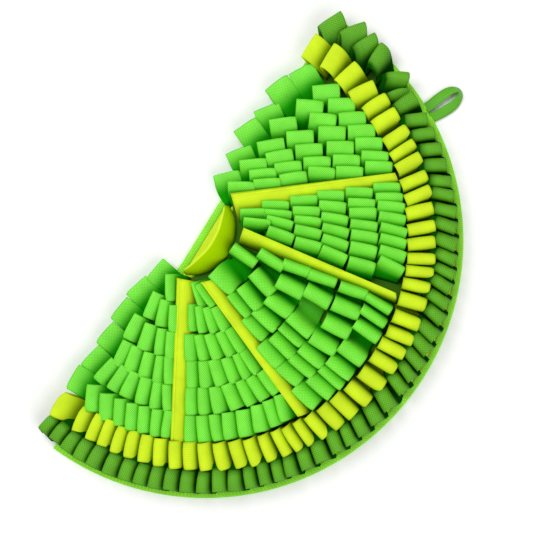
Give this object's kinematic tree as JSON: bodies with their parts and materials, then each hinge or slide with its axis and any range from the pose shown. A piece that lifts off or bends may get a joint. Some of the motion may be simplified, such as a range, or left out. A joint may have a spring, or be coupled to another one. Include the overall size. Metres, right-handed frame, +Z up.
{
  "type": "snuffle mat",
  "caption": "Half-round cloth snuffle mat in the form of a citrus slice, with rings and segments of standing webbing loops, a small pocket and a hanging tab.",
  "frame": {"origin": "centre of the round edge, on the mat's underside, just inside the straight edge", "axes": "+X along the straight edge, +Y out over the straight edge, +Z up from the surface that the mat lies on"},
  "size_m": [0.5159, 0.2952, 0.0303],
  "materials": {
    "base_fabric": "matte woven yellow-green cloth",
    "binding_tape": "light green folded tape, satin",
    "tab_tape": "narrow green tape, satin",
    "pocket_fabric": "matte chartreuse cloth",
    "dark_green_webbing": "dark green flat webbing, coarse weave",
    "yellow_tape": "yellow-green tape, matte, fine lengthwise lines",
    "green_webbing": "bright green flat webbing, fine ribbed weave, satin"
  },
  "bodies": {
    "root": {"base_panel": "base_fabric", "edge_binding": "binding_tape", "hang_tab": "tab_tape", "pocket": "pocket_fabric", "rind_loops": "dark_green_webbing", "pith_loops": "yellow_tape", "divider_1": "yellow_tape", "divider_2": "yellow_tape", "divider_3": "yellow_tape", "divider_4": "yellow_tape", "seg1_row_a": "green_webbing", "seg1_row_b": "green_webbing", "seg1_row_c": "green_webbing", "seg1_row_d": "green_webbing", "seg1_row_e": "green_webbing", "seg1_row_f": "green_webbing", "seg2_row_a": "green_webbing", "seg2_row_b": "green_webbing", "seg2_row_c": "green_webbing", "seg2_row_d": "green_webbing", "seg2_row_e": "green_webbing", "seg2_row_f": "green_webbing", "seg3_row_a": "green_webbing", "seg3_row_b": "green_webbing", "seg3_row_c": "green_webbing", "seg3_row_d": "green_webbing", "seg3_row_e": "green_webbing", "seg3_row_f": "green_webbing", "seg4_row_a": "green_webbing", "seg4_row_b": "green_webbing", "seg4_row_c": "green_webbing", "seg4_row_d": "green_webbing", "seg4_row_e": "green_webbing", "seg4_row_f": "green_webbing", "seg5_row_a": "green_webbing", "seg5_row_b": "green_webbing", "seg5_row_c": "green_webbing", "seg5_row_d": "green_webbing", "seg5_row_e": "green_webbing", "seg5_row_f": "green_webbing"}
  },
  "joints": []
}
